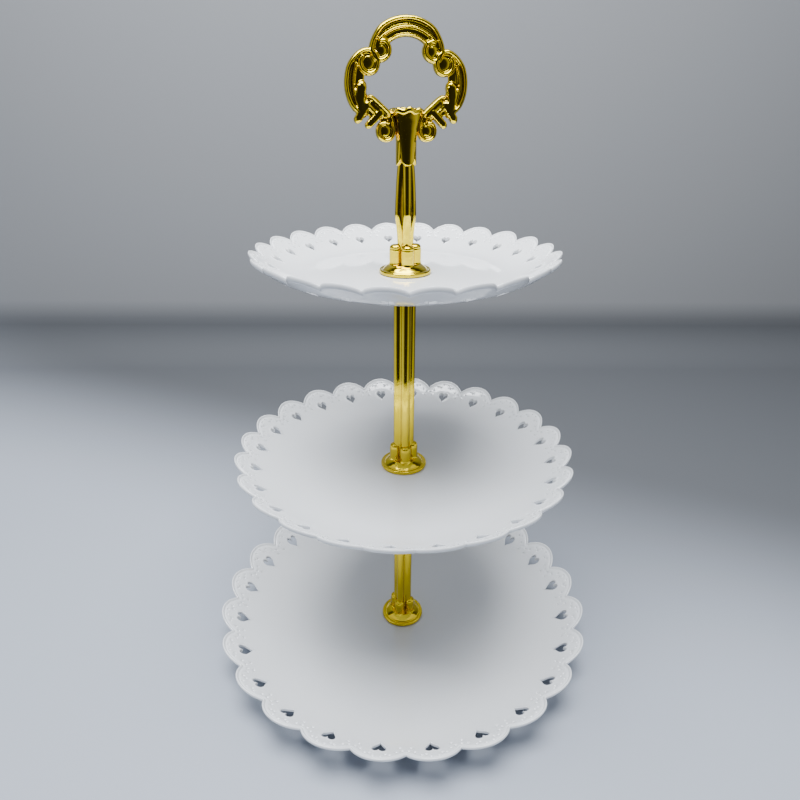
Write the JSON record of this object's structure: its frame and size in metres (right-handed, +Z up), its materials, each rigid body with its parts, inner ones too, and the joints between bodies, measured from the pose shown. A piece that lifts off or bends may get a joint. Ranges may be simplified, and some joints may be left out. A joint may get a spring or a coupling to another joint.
{
  "type": "tiered cake stand",
  "caption": "Tiered cake stand: scalloped glossy white plates with pierced hearts on a gold clustered column, with an openwork scroll ring to lift it by.",
  "frame": {"origin": "centre of the foot ring under the bottom plate, on the surface that the stand rests on", "axes": "+Z up along the column, -Y towards the viewer, +X to the viewer's right; the handle ring faces -Y, turned 12 degrees about Z"},
  "size_m": [0.2976, 0.2976, 0.4517],
  "materials": {
    "gold_plating": "polished gold plating on a zinc casting",
    "gloss_white": "glossy white moulded plastic",
    "clear_silicone": "translucent soft silicone",
    "insert_brass": "plain turned brass",
    "zinc_steel": "bright zinc-plated steel"
  },
  "bodies": {
    "base": {"plate_bottom": "gloss_white", "bottom_upper_washer": "clear_silicone", "bottom_lower_washer": "clear_silicone"},
    "lower_column": {"lower_column": "gold_plating", "lower_column_foot": "gold_plating", "lower_column_cap": "gold_plating", "lower_column_insert": "insert_brass", "lower_column_base_insert": "insert_brass"},
    "base_washer": {"base_washer": "zinc_steel"},
    "base_screw": {"base_screw": "zinc_steel"},
    "plate_middle": {"plate_middle": "gloss_white", "middle_upper_washer": "clear_silicone", "middle_lower_washer": "clear_silicone"},
    "middle_stud": {"middle_column_stud": "zinc_steel"},
    "middle_column": {"middle_column": "gold_plating", "middle_column_foot": "gold_plating", "middle_column_cap": "gold_plating", "middle_column_insert": "insert_brass"},
    "plate_top": {"plate_top": "gloss_white", "top_upper_washer": "clear_silicone", "top_lower_washer": "clear_silicone"},
    "handle_stud": {"handle_stud": "zinc_steel"},
    "handle": {"handle": "gold_plating", "handle_foot": "gold_plating"}
  },
  "joints": [
    {"name": "lower_column_swivel", "type": "hinge", "parent": "base", "child": "lower_column", "pos_m": [0, 0, 0.0104], "axis": [0, 0, 1], "continuous": true},
    {"name": "base_washer_drop", "type": "slide", "parent": "lower_column", "child": "base_washer", "axis": [0, 0, -1], "range_m": [0, 0.0016]},
    {"name": "base_screw_turn", "type": "hinge", "parent": "base_washer", "child": "base_screw", "pos_m": [0, 0, 0.005], "axis": [0, 0, -1], "range_deg": [0, 576]},
    {"name": "plate_middle_swivel", "type": "hinge", "parent": "lower_column", "child": "plate_middle", "pos_m": [0, 0, 0.1607], "axis": [0, 0, 1], "continuous": true},
    {"name": "middle_column_rise", "type": "slide", "parent": "lower_column", "child": "middle_stud", "axis": [0, 0, 1], "range_m": [0, 0.008]},
    {"name": "middle_column_turn", "type": "hinge", "parent": "middle_stud", "child": "middle_column", "pos_m": [0, 0, 0.1607], "axis": [0, 0, 1], "range_deg": [0, 2880]},
    {"name": "plate_top_swivel", "type": "hinge", "parent": "middle_column", "child": "plate_top", "pos_m": [0, 0, 0.3075], "axis": [0, 0, 1], "continuous": true},
    {"name": "handle_rise", "type": "slide", "parent": "middle_column", "child": "handle_stud", "axis": [0, 0, 1], "range_m": [0, 0.008]},
    {"name": "handle_turn", "type": "hinge", "parent": "handle_stud", "child": "handle", "pos_m": [0, 0, 0.3075], "axis": [0, 0, 1], "range_deg": [0, 2880]}
  ],
  "couplings": [
    {"joint": "base_screw_turn", "follows": "base_washer_drop", "rad_per_m": 6283.1},
    {"joint": "middle_column_turn", "follows": "middle_column_rise", "rad_per_m": 6283.1},
    {"joint": "handle_turn", "follows": "handle_rise", "rad_per_m": 6283.1}
  ]
}
